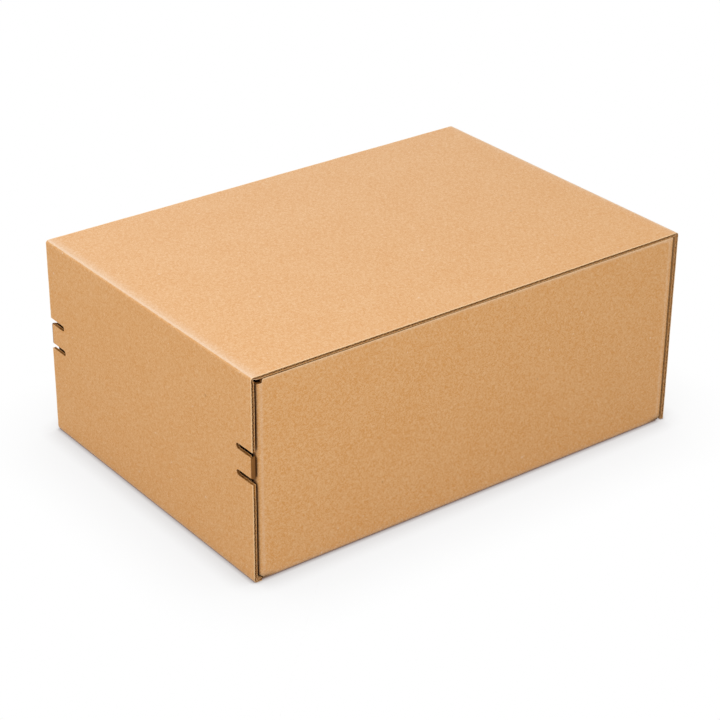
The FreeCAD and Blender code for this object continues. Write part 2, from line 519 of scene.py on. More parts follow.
class Sleeve:
    """Right end, top, left end and the ears of the bottom: the part that wraps round the pack."""

    TOP_FRONT: Waves = ((190.0, 0.07, 0.4), (61.0, 0.05, 2.0), (23.0, 0.03, 1.1))
    TOP_BACK: Waves = ((160.0, 0.08, 3.0), (47.0, 0.05, 0.3), (19.0, 0.03, 2.2))
    MARKS = SleeveRubAndHighlight()
    # Rows of points: beside a fold, over it, round a tab and along the cut edges
    BESIDE_FOLD = (0.4, 1.0, 2.0, 3.0, 4.0, 5.0)
    FOLD_STEPS = 10
    TAB_STEPS = 8
    BOWL_POINTS = 9
    BEFORE_TAB = 0.3
    EDGE_STEP = 1.3
    CORE_STEP = 2.0
    # Distances that the rows keep from the cut edges
    ROW_MARGIN = 0.7
    JOIN_MARGIN = 0.2
    FACING_TAB_MARGIN = 0.3
    CORE_TAB_MARGIN = 0.4
    # Cut edges: the pale lip, which also paints the edge's highlight, the rough core and the first and last
    # open flute
    LIP_DEPTH = 0.3
    CORE_RAGGED = 0.05
    CORE_SEED = 31
    FLUTE_START = 0.3
    FLUTE_STOP = 0.1

    def __init__(self, sizes: BoxSizes) -> None:
        """Measure the section of the sleeve."""
        self.sizes = s = sizes
        self.arc = s.tight_fold * math.pi / 2
        straight_end = s.height - s.tight_fold
        top = s.length - 2 * s.tight_fold
        left = s.height - 2 * s.tight_fold
        self.right_top = straight_end
        self.top_start = self.right_top + self.arc
        self.top_end = self.top_start + top
        self.left_top = self.top_end + self.arc
        self.left_low = self.left_top + left
        self.bottom_start = self.left_low + self.arc
        self.fold_starts = (self.right_top, self.top_end, self.left_low)
        self.stop = self.bottom_start + (s.length / 2 - s.tight_fold) - s.face_reach - s.relief
        self.path = SectionPath(
            (s.length / 2, 0.0),
            SQUARE_TURN,
            [
                Run(straight_end),
                Run(self.arc, SQUARE_TURN),
                Run(top),
                Run(self.arc, SQUARE_TURN),
                Run(left),
                Run(self.arc, SQUARE_TURN),
                Run(2 * s.length),
            ],
        )

    def along(self, side: Side, height: float) -> float:
        """Distance along the sheet of a height on an end panel."""
        if side is Side.RIGHT:
            return height
        return self.left_low - (height - self.sizes.tight_fold)

    def tab_range(self, end: End) -> Flat:
        """Range along the sheet that the left end's tab takes at one raw edge, slot to slot."""
        half = (self.sizes.tab_height + self.sizes.slot_height) / 2
        middle = self.sizes.pair_middle(end)
        return self.along(Side.LEFT, middle + half), self.along(Side.LEFT, middle - half)

    def settle(self, u: float, v: float) -> float:
        """How far the sheet lies inside its ideal face, in millimetres."""
        half = self.sizes.width / 2
        share = min(max((v + half) / (2 * half), 0.0), 1.0)
        return ripple(u, self.TOP_FRONT) * (1 - share) + ripple(u, self.TOP_BACK) * share

    def place(self, u: float, v: float, depth: float) -> Vector:
        """Fold a flat point of the sleeve.

        Args:
            u: Distance along the sleeve from the raw lower edge of the right end.
            v: Distance from the middle, from front to back.
            depth: Depth below the outer face.

        Returns:
            The placed point in metres.
        """
        s = self.sizes
        across = v
        sunk = self.settle(u, v)
        depth *= self.squeeze(u)
        if abs(v) > s.tab_start - s.tab_run_in:
            end = End.FRONT if v < 0 else End.BACK
            low, high = self.tab_range(end)
            if low <= u <= high:
                across, depth = self._turned_in(abs(v), depth)
                across *= end.value
        x, z = self.path.point(u, depth + sunk)
        return Vector((x, across, z)) * MM

    def squeeze(self, u: float) -> float:
        """Share of its thickness that the board keeps along the sheet, less at the creases."""
        s = self.sizes
        pressed = 0.0
        for start in self.fold_starts:
            outside = max(start - u, u - start - self.arc, 0.0)
            pressed = max(pressed, 1 - smooth(0.0, s.crease_margin, outside))
        return 1 - (1 - s.crease_squeeze) * pressed

    def _turned_in(self, reach: float, depth: float) -> Flat:
        """Roll a point of a tab round its crease.

        Args:
            reach: Flat distance from the middle of the panel.
            depth: Depth below the outer face.

        Returns:
            Distance from the middle, and depth below the face of the panel.
        """
        s = self.sizes
        squeeze = 1 - (1 - s.tab_squeeze) * smooth(s.tab_start - s.tab_run_in, s.tab_start, reach)
        depth *= squeeze
        past = reach - s.tab_start
        if past <= 0:
            return reach, depth
        turn = min(past / s.tab_crease, s.tab_turn)
        beyond = max(past - s.tab_crease * s.tab_turn, 0.0)
        radius = s.tab_crease - depth
        return (
            s.tab_start + radius * math.sin(turn) + beyond * math.cos(turn),
            s.tab_crease - radius * math.cos(turn) + beyond * math.sin(turn),
        )

    def tab_reach(self) -> float:
        """Flat distance from the middle of the panel to the end of a tab."""
        return self.sizes.tab_start + self.sizes.tab_crease * self.sizes.tab_turn + self.sizes.hook_length

    def edge_line(
        self, end: End, start: float, stop: float, plain: float, recess: float = 0.0
    ) -> list[Flat]:
        """Raw edge with its slots and tabs, from start to stop along the sheet.

        Args:
            end: Which raw edge.
            start: Where the line starts.
            stop: Where it stops.
            plain: Distance of the plain raw edge from the middle.
            recess: Extra cut on every slot side, for layers that stay behind the facings.

        Returns:
            Points (along, distance from the middle).
        """
        s = self.sizes
        line: list[Flat] = [(start, plain)]
        low, high = self.tab_range(end)
        half = s.slot_height / 2 + recess
        deep = s.width / 2 - s.slot_depth - recess
        outer, nip = self.tab_reach() - recess, s.tab_nip
        for at, first in ((low, True), (high, False)):
            bowl = [
                (at + half * math.cos(a), deep + half - half * math.sin(a))
                for a in np.linspace(math.pi, 0.0, self.BOWL_POINTS).tolist()
            ]
            if first:
                line += [(at - half, plain), *bowl, (at + half, outer - nip), (at + half + nip, outer)]
            else:
                line += [(at - half - nip, outer), (at - half, outer - nip), *bowl, (at + half, plain)]
        line.append((stop, plain))
        return line

    def crease_rows(self) -> list[float]:
        """Distances along the sheet at which rows of points follow the folds."""
        rows: list[float] = []
        for start in self.fold_starts:
            rows += [start - gap for gap in reversed(self.BESIDE_FOLD)]
            rows += [start + self.arc * i / self.FOLD_STEPS for i in range(self.FOLD_STEPS + 1)]
            rows += [start + self.arc + gap for gap in self.BESIDE_FOLD]
        return [row for row in rows if row < self.stop - self.JOIN_MARGIN]

    def facing(self, ply: Ply, seed: int) -> CutSheet:
        """The sleeve's share of a facing, cut out flat.

        Args:
            ply: Outer or inner facing.
            seed: Seed of its ragged edge.

        Returns:
            The cut sheet.
        """
        s = self.sizes
        half, step = s.width / 2, self.EDGE_STEP
        front = CutSheet.resampled(self.edge_line(End.FRONT, 0.0, self.stop, half), step, closed=False)
        back = CutSheet.resampled(self.edge_line(End.BACK, 0.0, self.stop, half), step, closed=False)
        joint = join_stations(s)
        outline = [(u, -v) for u, v in front] + [(self.stop, v) for v in joint]
        outline += [(u, v) for u, v in reversed(back)]
        outline += CutSheet.resampled([(0.0, half), (0.0, -half)], step, closed=False)[1:-1]
        reach = half - self.ROW_MARGIN
        lines = [[(row, -reach), (row, reach)] for row in self.crease_rows()]
        lines += self.tab_rows(self.FACING_TAB_MARGIN)
        lip = half - self.LIP_DEPTH if ply is Ply.OUTER else math.inf
        return CutSheet(outline, lines=lines, fixed_edge=self.stop, lip_from=lip, seed=seed)

    def tab_rows(self, margin: float) -> list[list[Flat]]:
        """Rows of points across each tab that let it roll round its crease.

        Args:
            margin: Distance that a row keeps from the slots.

        Returns:
            One row for each end and station.
        """
        s = self.sizes
        inset = s.slot_height / 2 + margin
        bend, steps = s.tab_crease * s.tab_turn, self.TAB_STEPS
        stations = [s.tab_start - self.BEFORE_TAB]
        stations += [s.tab_start + bend * i / steps for i in range(steps + 1)]
        rows = []
        for end in End:
            low, high = self.tab_range(end)
            rows += [[(low + inset, end.value * v), (high - inset, end.value * v)] for v in stations]
        return rows

    def rub_and_highlight(self, point: Flat) -> float:
        """Share of fold wear and painted highlight at a flat point of the sleeve."""
        u, marks = point[0], self.MARKS
        left, right = u - self.top_end, self.right_top + self.arc - u
        low = u - self.left_low
        pale_rub_highlight = marks.lower_share * smooth(*marks.lower_rise, low) * (1 - smooth(*marks.lower_end, low / self.arc))
        for past, soft in ((left, marks.left_soft), (right, marks.right_soft)):
            band = soft * smooth(*marks.soft_rise, past) + (1 - soft) * smooth(*marks.sharp_rise, past)
            pale_rub_highlight = max(pale_rub_highlight, band * (1 - smooth(*marks.upper_end, past / self.arc)))
        return pale_rub_highlight

    def crushed_band(self) -> Flat:
        """Range along the sheet where the flutes are pressed shut, round the slots."""
        s = self.sizes
        reach = s.tab_height / 2 + s.slot_height + s.crushed_margin
        low = min(s.front_pair, s.back_pair) - reach
        high = max(s.front_pair, s.back_pair) + reach
        return self.along(Side.LEFT, high), self.along(Side.LEFT, low)

    def core_band(self) -> CutSheet:
        """Crushed board round the slots and in the tabs, cut out flat."""
        a, b = self.crushed_band()
        s, step = self.sizes, self.CORE_STEP
        edge = s.width / 2 - s.core_recess
        front = CutSheet.resampled(self.edge_line(End.FRONT, a, b, edge, s.slot_recess), step, closed=False)
        back = CutSheet.resampled(self.edge_line(End.BACK, a, b, edge, s.slot_recess), step, closed=False)
        outline = [(u, -v) for u, v in front] + [(u, v) for u, v in reversed(back)]
        rows = self.tab_rows(self.CORE_TAB_MARGIN)
        return CutSheet(outline, lines=rows, ragged=self.CORE_RAGGED, seed=self.CORE_SEED)

    def flute_runs(self) -> list[Flat]:
        """Stretches along the sheet where the flutes are open."""
        a, b = self.crushed_band()
        return [(self.FLUTE_START, a), (b, self.stop - self.FLUTE_STOP)]

    def tab_core_and_shade(self, point: Flat) -> float:
        """Share of dark raw core at a flat point: all of it past the scored crease of a tab, where it also
        paints the shade of the tab's recess.
        """
        u, v = point
        low, high = self.tab_range(End.FRONT if v < 0 else End.BACK)
        return 1.0 if low <= u <= high and abs(v) >= self.sizes.tab_start - CLOSE else 0.0


def join_stations(sizes: BoxSizes) -> list[float]:
    """Places across the sheet of the points that the sleeve and the tray share."""
    return [float(v) for v in np.linspace(-sizes.depth_reach, sizes.depth_reach, JOIN_POINTS)]


@dataclass(frozen=True)
class TrayRubHighlightAndShade:
    """Where the long faces are rubbed pale, their upper rim also with painted highlight, and where painted
    shade darkens their gaps, in millimetres.
    """

    foot_share: float = 0.5
    foot_reach: Flat = (0.0, 3.0)
    upright_share: float = 0.30
    upright_inset: float = 0.6
    upright_reach: Flat = (0.3, 1.2)
    # Pale upper rim: wear and painted highlight
    rim_highlight_share: float = 0.55
    rim_reach: Flat = (0.2, 1.2)
    # Painted shade in the gaps at the upright folds and below the upper rim
    gap_start: float = 3.2
    gap_full: float = 0.6
    rim_gap_share: float = 0.6
    rim_gap_reach: Flat = (0.3, 1.0)


class Tray:
    """Bottom with everything folded up from it: long faces, dust flaps and glue flap."""

    FACE_WAVES: Waves = ((210.0, 0.08, 1.0), (83.0, 0.05, 0.2))
    WAVE_SLANT = 3
    MARKS = TrayRubHighlightAndShade()
    # Where the windows behind the slots start, past the long face's end
    WINDOW_START = {Ply.OUTER: 4.2, Ply.CORE: 4.0, Ply.INNER: 3.8}
    WINDOW_STEP = 1.4
    # Rows of points: before and past the foot's fold, below the rim, and before the upright folds
    BEFORE_FOOT = (1.0, 3.0)
    PAST_FOOT = (1.0, 3.0)
    BELOW_RIM = (1.5, 2.4)
    BEFORE_UPRIGHT = (3.0, 2.2, 1.5, 1.0, 0.5)
    FOLD_STEPS = 8
    UPRIGHT_ROWS = 11
    BOW_DEGREES = range(0, 91, 15)
    GLUE_STEPS = 6
    # Distances that the rows keep from the cut edges
    SIDE_MARGIN = 0.6
    LOW_MARGIN = 0.8
    HIGH_MARGIN = 1.8
    GLUE_MARGIN = 1.0
    RIM_OVERRUN = 0.2
    RAGGED = 0.07
    CORE_RAGGED = 0.1

    def __init__(self, sizes: BoxSizes, flat_offset: float) -> None:
        """Measure the section of the tray.

        Args:
            sizes: The box.
            flat_offset: Distance along the whole sheet of the middle of the bottom.
        """
        self.sizes = s = sizes
        self.flat_offset = flat_offset
        rise = s.face_top - s.fold
        self.half = s.depth_reach + s.arc + rise
        self.join = -s.face_reach - s.relief
        self.path = SectionPath(
            (-s.width / 2, s.face_top),
            -SQUARE_TURN,
            [
                Run(rise),
                Run(s.arc, SQUARE_TURN),
                Run(2 * s.depth_reach),
                Run(s.arc, SQUARE_TURN),
                Run(rise),
            ],
        )

    def settle(self, x: float, v: float) -> float:
        """How far a long face lies inside its ideal face, in millimetres."""
        climb = smooth(self.sizes.depth_reach, self.half, abs(v))
        return ripple(x + self.WAVE_SLANT * v, self.FACE_WAVES) * climb

    def place(self, x: float, v: float, depth: float) -> Vector:
        """Fold a flat point of the tray.

        Args:
            x: Distance from the middle, from left to right.
            v: Distance from the middle of the bottom, from front to back.
            depth: Depth below the outer face.

        Returns:
            The placed point in metres.
        """
        s = self.sizes
        flat_bottom = abs(v) <= s.depth_reach
        reach = s.glue_reach if flat_bottom or x > 0 else s.face_reach
        past = abs(x) - reach
        y, z = self.path.point(v + self.half, depth + self.settle(x, v))
        if past <= 0 or (flat_bottom and x < 0):
            return Vector((x, y, z)) * MM
        turn = min(past / s.fold, SQUARE_TURN)
        beyond = max(past - s.arc, 0.0)
        radius = s.fold - depth - self.settle(x, v)
        out = reach + radius * math.sin(turn) + beyond * math.cos(turn)
        back = radius * math.cos(turn) - beyond * math.sin(turn)
        if flat_bottom:
            return Vector((out, v, s.fold - back)) * MM
        end = math.copysign(1.0, v)
        return Vector((math.copysign(out, x), end * (s.depth_reach + back), z)) * MM

    def along(self, height: float) -> float:
        """Flat distance from the middle of the bottom for a height on a long face."""
        return self.sizes.depth_reach + self.sizes.arc + height - self.sizes.fold

    def _half_outline(self) -> list[Flat]:
        """Cut edge from the left end of the bottom round the front to the glue flap's middle."""
        s = self.sizes
        left, right, depth = s.face_reach, s.glue_reach, s.depth_reach
        left_root, right_root = left + s.arc, right + s.arc
        low, high = 2 * s.fold, s.face_top
        foot_right = s.glue_height + s.mitre_gap
        line: list[Flat] = [(-left, s.fold), (-left_root, low)]
        line += self._flap_tip(-1.0, left_root, low + s.dust_taper)
        line += [(-left_root, high - s.nick), (-left + s.nick_foot, high - s.nick)]
        line.append((-left + s.nick_head, high))
        line += [(right + self.RIM_OVERRUN, high + s.rim_climb), (right_root, high - s.head_slope)]
        line += reversed(self._flap_tip(1.0, right_root, foot_right))
        line += [(right_root + foot_right - low, foot_right), (right_root, low), (right, s.fold)]
        points = [(self.join, -depth), (-left, -depth)]
        points += [(x, -self.along(z)) for x, z in line]
        half = depth - s.glue_inset
        climb = s.glue_height - s.fold
        points += [(right, -depth), (right, -half), (right_root, -half)]
        points += [(right_root + climb, -(half - climb - s.mitre_gap))]
        return points

    def _flap_tip(self, side: float, root: float, foot: float) -> list[Flat]:
        """Rounded tip of a dust flap, from its foot to its head.

        Args:
            side: Sign of X.
            root: Flat distance from the middle to the flap's root.
            foot: Height of its lower edge.

        Returns:
            Points (along, height).
        """
        s = self.sizes
        bow = [math.radians(a) for a in self.BOW_DEGREES]
        tip, r = root + s.dust_length, s.dust_corner
        head = s.face_top - s.dust_taper
        lower = [(side * (tip - r + r * math.sin(a)), foot + r - r * math.cos(a)) for a in bow]
        upper = [(side * (tip - r + r * math.cos(a)), head - r + r * math.sin(a)) for a in bow]
        return lower + upper

    def slits(self, ply: Ply) -> list[list[Flat]]:
        """Windows in the left dust flaps behind the slots, which let the tabs hook in.

        Args:
            ply: The layer that they are cut in.

        Returns:
            One closed line for each window.
        """
        s = self.sizes
        near = -(s.face_reach + self.WINDOW_START[ply])
        far = -(s.face_reach + s.arc + s.slot_depth + s.window_reach)
        half = s.tab_height / 2 + s.slot_height + s.window_rise
        holes = []
        for end in End:
            middle = s.pair_middle(end)
            low, high = sorted(end.value * self.along(middle + rise) for rise in (-half, half))
            corners = [(far, low), (near, low), (near, high), (far, high)]
            holes.append(CutSheet.resampled(corners, self.WINDOW_STEP))
        return holes

    def layer(self, ply: Ply, seed: int, step: float = 1.5) -> CutSheet:
        """One layer of the tray, cut out flat.

        Args:
            ply: Which layer.
            seed: Seed of its ragged edge.
            step: Largest distance between two points of its cut edge.

        Returns:
            The cut sheet.
        """
        s = self.sizes
        half = self._half_outline()
        corners = half + [(x, -v) for x, v in reversed(half)]
        outline = CutSheet.resampled(corners, step, closed=False)
        outline += [(self.join, v) for v in reversed(join_stations(s))][1:-1]
        ragged = self.CORE_RAGGED if ply is Ply.CORE else self.RAGGED
        holes = self.slits(ply)
        clear = [line for line in self._rows() if not self._crosses(line, holes)]
        lip = s.depth_reach if ply is Ply.OUTER else math.inf
        return CutSheet(outline, holes, clear, fixed_edge=self.join, ragged=ragged, lip_from=lip, seed=seed)

    def _rows(self) -> list[list[Flat]]:
        """Rows of points that follow the folds of the long faces, the dust flaps and the glue flap."""
        s, steps = self.sizes, self.FOLD_STEPS
        lines: list[list[Flat]] = []
        fold_rows = [s.depth_reach + s.arc * i / steps for i in range(steps + 1)]
        fold_rows += [s.depth_reach - gap for gap in self.BEFORE_FOOT]
        fold_rows += [s.depth_reach + s.arc + gap for gap in self.PAST_FOOT]
        fold_rows += [self.half - gap for gap in self.BELOW_RIM]
        side_reach = s.face_reach - self.SIDE_MARGIN
        for row in fold_rows:
            lines += [[(-side_reach, end.value * row), (side_reach, end.value * row)] for end in End]
        low = self.along(2 * s.fold) + self.LOW_MARGIN
        high = self.along(s.face_top) - self.HIGH_MARGIN
        for side, reach in ((Side.LEFT, s.face_reach), (Side.RIGHT, s.glue_reach)):
            columns = [reach - gap for gap in self.BEFORE_UPRIGHT]
            columns += [reach + s.arc * i / steps for i in range(self.UPRIGHT_ROWS)]
            for x in [side.value * column for column in columns]:
                lines += [[(x, end.value * low), (x, end.value * high)] for end in End]
        near = s.depth_reach - s.glue_inset - self.GLUE_MARGIN
        for x in [s.glue_reach + s.arc * i / self.GLUE_STEPS for i in range(self.GLUE_STEPS + 1)]:
            lines.append([(x, -near), (x, near)])
        return lines

    @staticmethod
    def _crosses(line: list[Flat], holes: list[list[Flat]]) -> bool:
        """Whether a row of points runs through a hole."""
        (ax, ay), (bx, by) = line
        for hole in holes:
            xs, ys = [p[0] for p in hole], [p[1] for p in hole]
            beside = max(ax, bx) < min(xs) or min(ax, bx) > max(xs)
            apart = max(ay, by) < min(ys) or min(ay, by) > max(ys)
            if not beside and not apart:
                return True
        return False

    def to_flat(self, point: Flat) -> Flat:
        """Place of a tray point on the whole flat sheet."""
        return point[0] + self.flat_offset, point[1]

    def rub_and_highlight(self, point: Flat) -> float:
        """Share of fold wear and painted highlight at a flat point of the tray."""
        s, marks = self.sizes, self.MARKS
        x, v = abs(point[0]), abs(point[1])
        low = abs(v - s.depth_reach - s.arc / 2)
        pale_rub_highlight = marks.foot_share * (1 - smooth(*marks.foot_reach, low))
        if v > s.depth_reach + s.arc:
            beside = abs(x - s.face_reach + marks.upright_inset)
            pale_rub_highlight = max(pale_rub_highlight, marks.upright_share * (1 - smooth(*marks.upright_reach, beside)))
            pale_rub_highlight = max(pale_rub_highlight, marks.rim_highlight_share * (1 - smooth(*marks.rim_reach, self.half - v)))
        return pale_rub_highlight

    def gap_share(self, point: Flat) -> float:
        """How strongly painted shade darkens a flat point in a gap: at the long faces' upright folds and
        upper rims.
        """
        s, marks = self.sizes, self.MARKS
        x, v = abs(point[0]), abs(point[1])
        upright = smooth(s.face_reach - marks.gap_start, s.face_reach - marks.gap_full, x)
        upper = marks.rim_gap_share * (1 - smooth(*marks.rim_gap_reach, self.half - v))
        return max(upright, upper) * smooth(s.depth_reach, s.depth_reach + s.arc, v)


class FlutedMedium:
    """The fluted paper between the facings, made by Geometry Nodes along the sheet."""

    STEPS = 9
    DRIFT_SCALE = 0.11
    DRIFT = 1.6
    CRUSH = 0.3

    def __init__(self, sizes: BoxSizes) -> None:
        """Keep the sizes and build the node tree."""
        self.sizes = sizes
        self.tree = self._tree()

    def _tree(self) -> bpy.types.NodeTree:
        """Node tree: a wave along X, swept with a thin upright strip of paper."""
        tree = bpy.data.node_groups.new("Fluted paper", "GeometryNodeTree")
        face = tree.interface
        face.new_socket("Geometry", in_out="OUTPUT", socket_type="NodeSocketGeometry")
        for name in ("Start", "End", "Pitch", "Rise", "Crush", "Paper", "Depth"):
            face.new_socket(name, in_out="INPUT", socket_type="NodeSocketFloat")
        face.new_socket("Finish", in_out="INPUT", socket_type="NodeSocketMaterial")
        new, link = tree.nodes.new, tree.links.new
        inputs, output = new("NodeGroupInput"), new("NodeGroupOutput")

        def math_node(operation: str, a: object, b: object = 0.0) -> Socket:
            """Math node with each input linked or set."""
            node = new("ShaderNodeMath")
            node.operation = operation
            for socket, value in zip(node.inputs, (a, b)):
                if isinstance(value, Socket):
                    link(value, socket)
                else:
                    socket.default_value = value
            return node.outputs[0]

        ends = []
        for name in ("Start", "End"):
            at = new("ShaderNodeCombineXYZ")
            link(inputs.outputs[name], at.inputs["X"])
            ends.append(at.outputs[0])
        line = new("GeometryNodeCurvePrimitiveLine")
        link(ends[0], line.inputs["Start"])
        link(ends[1], line.inputs["End"])
        points = new("GeometryNodeResampleCurve")
        points.mode = "LENGTH"
        link(line.outputs["Curve"], points.inputs["Curve"])
        link(math_node("DIVIDE", inputs.outputs["Pitch"], float(self.STEPS)), points.inputs["Length"])
        place = new("GeometryNodeInputPosition")
        parts = new("ShaderNodeSeparateXYZ")
        link(place.outputs[0], parts.inputs[0])
        noise = new("ShaderNodeTexNoise")
        noise.noise_dimensions = "1D"
        noise.inputs["Scale"].default_value = self.DRIFT_SCALE
        noise.inputs["Detail"].default_value = 1.0
        link(parts.outputs["X"], noise.inputs["W"])
        turns = math_node("DIVIDE", parts.outputs["X"], inputs.outputs["Pitch"])
        angle = math_node("MULTIPLY", turns, 2 * math.pi)
        drift = math_node("MULTIPLY", noise.outputs["Fac"], self.DRIFT)
        wave = math_node("SINE", math_node("ADD", angle, drift))
        crushed = math_node("MULTIPLY", noise.outputs["Fac"], inputs.outputs["Crush"])
        height = math_node("MULTIPLY", inputs.outputs["Rise"], math_node("SUBTRACT", 1.0, crushed))
        shift = new("ShaderNodeCombineXYZ")
        link(math_node("MULTIPLY", wave, height), shift.inputs["Y"])
        waved = new("GeometryNodeSetPosition")
        link(points.outputs["Curve"], waved.inputs["Geometry"])
        link(shift.outputs[0], waved.inputs["Offset"])
        upright = new("GeometryNodeSetCurveNormal")
        upright.mode = "Z_UP"
        link(waved.outputs[0], upright.inputs["Curve"])
        strip = new("GeometryNodeCurvePrimitiveQuadrilateral")
        link(inputs.outputs["Paper"], strip.inputs["Width"])
        link(inputs.outputs["Depth"], strip.inputs["Height"])
        swept = new("GeometryNodeCurveToMesh")
        swept.inputs["Fill Caps"].default_value = True
        link(upright.outputs[0], swept.inputs["Curve"])
        link(strip.outputs[0], swept.inputs["Profile Curve"])
        real = new("GeometryNodeRealizeInstances")
        link(swept.outputs[0], real.inputs[0])
        finish = new("GeometryNodeSetMaterial")
        link(real.outputs[0], finish.inputs["Geometry"])
        link(inputs.outputs["Finish"], finish.inputs["Material"])
        link(finish.outputs[0], output.inputs[0])
        return tree

    def ribbon(self, start: float, stop: float, depth: float, finish: bpy.types.Material) -> bpy.types.Mesh:
        """One stretch of fluted paper as a plain mesh, still flat.

        Args:
            start: Where it starts along the sheet.
            stop: Where it stops.
            depth: How far it reaches across the sheet.
            finish: Its material.

        Returns:
            The mesh, in millimetres.
        """
        s = self.sizes
        carrier = bpy.data.objects.new("flute_carrier", bpy.data.meshes.new("flute_carrier"))
        bpy.context.scene.collection.objects.link(carrier)
        nodes = carrier.modifiers.new("Fluted paper", "NODES")
        nodes.node_group = self.tree
        room = s.board - 2 * s.liner - s.medium
        values = {
            "Start": start,
            "End": stop,
            "Pitch": s.pitch,
            "Rise": room / 2,
            "Crush": self.CRUSH,
            "Paper": s.medium,
            "Depth": depth,
            "Finish": finish,
        }
        for item in self.tree.interface.items_tree:
            if item.in_out == "INPUT":
                nodes[item.identifier] = values[item.name]
        shown = carrier.evaluated_get(bpy.context.evaluated_depsgraph_get())
        mesh = bpy.data.meshes.new_from_object(shown)
        carrier.modifiers.remove(nodes)
        bpy.data.objects.remove(carrier)
        return mesh


class ShaderTools:
    """Short calls for building one material or node group."""

    # Sockets of a Mix node that mixes colours, and the rays that look for walls round a point
    MIX_FACTOR = 0
    MIX_COLOURS = (6, 7)
    MIX_RESULT = 2
    HOLLOW_SAMPLES = 8

    def __init__(self, tree: bpy.types.NodeTree) -> None:
        """Work on one node tree."""
        self.tree = tree

    def node(self, kind: str, **settings: object) -> bpy.types.Node:
        """New node with its settings."""
        made = self.tree.nodes.new(kind)
        for name, value in settings.items():
            setattr(made, name, value)
        return made

    def feed(self, socket: Socket, value: object) -> None:
        """Link a socket or set its value."""
        if isinstance(value, Socket):
            self.tree.links.new(value, socket)
        else:
            socket.default_value = value

    def math(self, operation: str, a: object, b: object = 0.0, c: object = 0.0) -> Socket:
        """Result of a Math node."""
        made = self.node("ShaderNodeMath", operation=operation)
        for socket, value in zip(made.inputs, (a, b, c)):
            self.feed(socket, value)
        return made.outputs[0]

    def span(self, value: object, start: Flat, end: Flat = (0.0, 1.0), curve: str = "SMOOTHSTEP") -> Socket:
        """Value moved smoothly from one range to another.

        Args:
            value: Socket or number.
            start: Range that it comes from.
            end: Range that it goes to.
            curve: How it rises between them.

        Returns:
            The moved value.
        """
        made = self.node("ShaderNodeMapRange", interpolation_type=curve)
        names = ("Value", "From Min", "From Max", "To Min", "To Max")
        for name, given in zip(names, (value, *start, *end)):
            self.feed(made.inputs[name], given)
        return made.outputs[0]

    def noise(self, vector: object, scale: float, detail: float = 2.0, rough: float = 0.5) -> Socket:
        """Noise value."""
        made = self.node("ShaderNodeTexNoise")
        self.feed(made.inputs["Vector"], vector)
        for name, given in (("Scale", scale), ("Detail", detail), ("Roughness", rough)):
            self.feed(made.inputs[name], given)
        return made.outputs["Fac"]

    def mix(self, share: object, first: object, second: object) -> Socket:
        """Mixed colour."""
        made = self.node("ShaderNodeMix", data_type="RGBA")
        self.feed(made.inputs[self.MIX_FACTOR], share)
        for index, colour in zip(self.MIX_COLOURS, (first, second)):
            self.feed(made.inputs[index], colour)
        return made.outputs[self.MIX_RESULT]

    def hollow(self, reach: float, start: float, full: float, curve: str = "SMOOTHSTEP") -> Socket:
        """How deep a point lies in a gap or hollow.

        Args:
            reach: How far a neighbouring wall still counts, in metres.
            start: Share of the sky that must be hidden before the value rises from 0.
            full: Share of the sky that is hidden where the value reaches 1.
            curve: How the value rises between them.

        Returns:
            Value from 0 in the open to 1 deep inside.
        """
        openness = self.node("ShaderNodeAmbientOcclusion", samples=self.HOLLOW_SAMPLES)
        self.feed(openness.inputs["Distance"], reach)
        hidden = self.math("SUBTRACT", 1.0, openness.outputs["AO"])
        return self.span(hidden, (start, full), curve=curve)

    def attribute(self, name: str) -> Socket:
        """Value of one of the mesh's own attributes."""
        return self.node("ShaderNodeAttribute", attribute_name=name).outputs["Fac"]

    def group(self, tree: bpy.types.NodeTree, **values: object) -> bpy.types.Node:
        """Placed node group with its inputs."""
        made = self.node("ShaderNodeGroup", node_tree=tree)
        for name, value in values.items():
            self.feed(made.inputs[name.replace("_", " ")], value)
        return made


